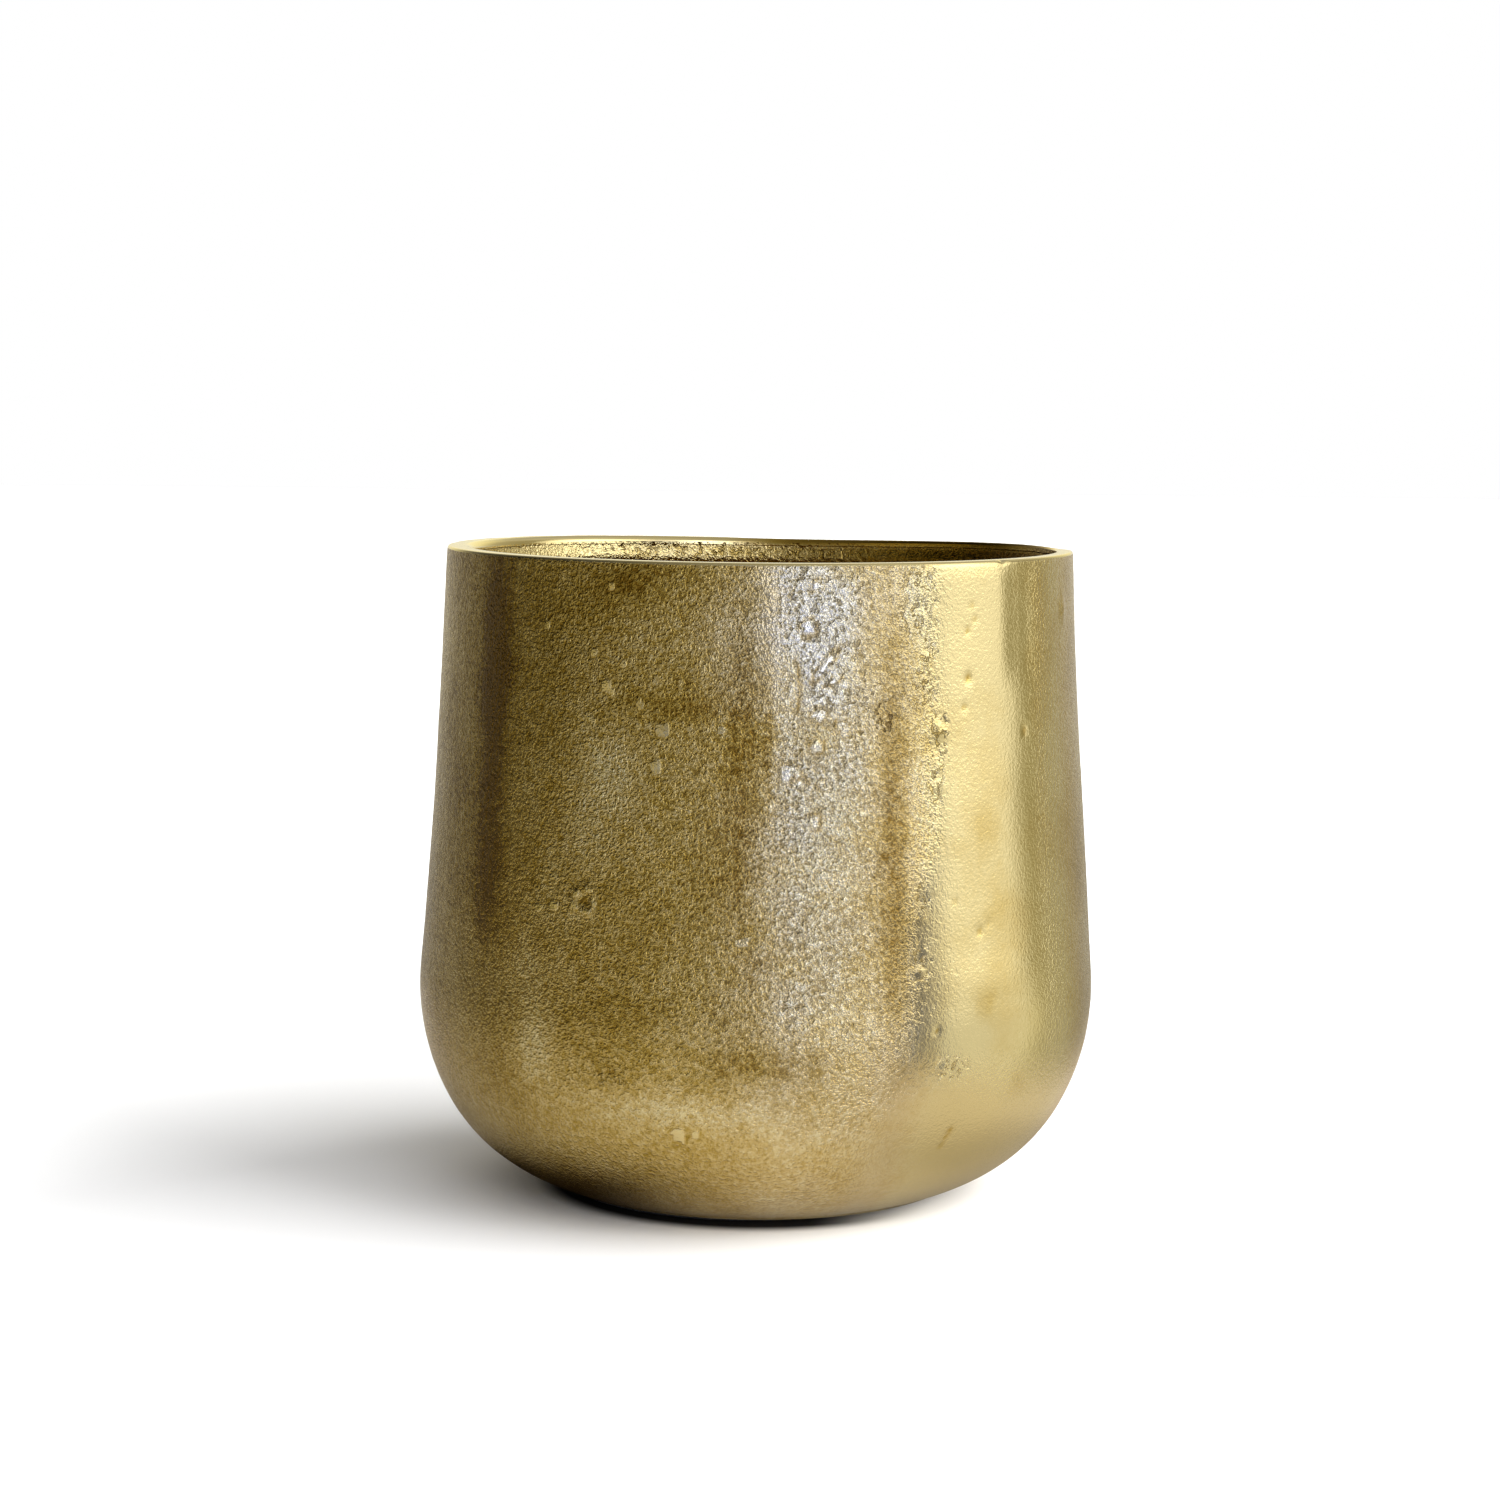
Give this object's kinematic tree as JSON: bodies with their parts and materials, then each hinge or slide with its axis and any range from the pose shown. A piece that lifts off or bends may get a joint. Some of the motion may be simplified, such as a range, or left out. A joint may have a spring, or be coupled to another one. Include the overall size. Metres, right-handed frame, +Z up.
{
  "type": "planter pot",
  "caption": "Round open planter pot in sand-cast brass: gently tapering side, bowl-shaped bottom, ground flat rim and a thin black felt disc under the base.",
  "frame": {"origin": "on the pot's axis, in the plane that the felt disc rests on", "axes": "+Z up along the pot's axis of revolution; -Y faces the viewer, and the felt disc sits a few millimetres off the axis towards -X"},
  "size_m": [0.2, 0.2, 0.19],
  "materials": {
    "cast_brass": "satin antique brass over a sand-cast grain, brown patina in the hollows",
    "black_felt": "pressed black wool felt"
  },
  "bodies": {
    "root": {"pot_shell": "cast_brass", "felt_base_disc": "black_felt"}
  },
  "joints": []
}
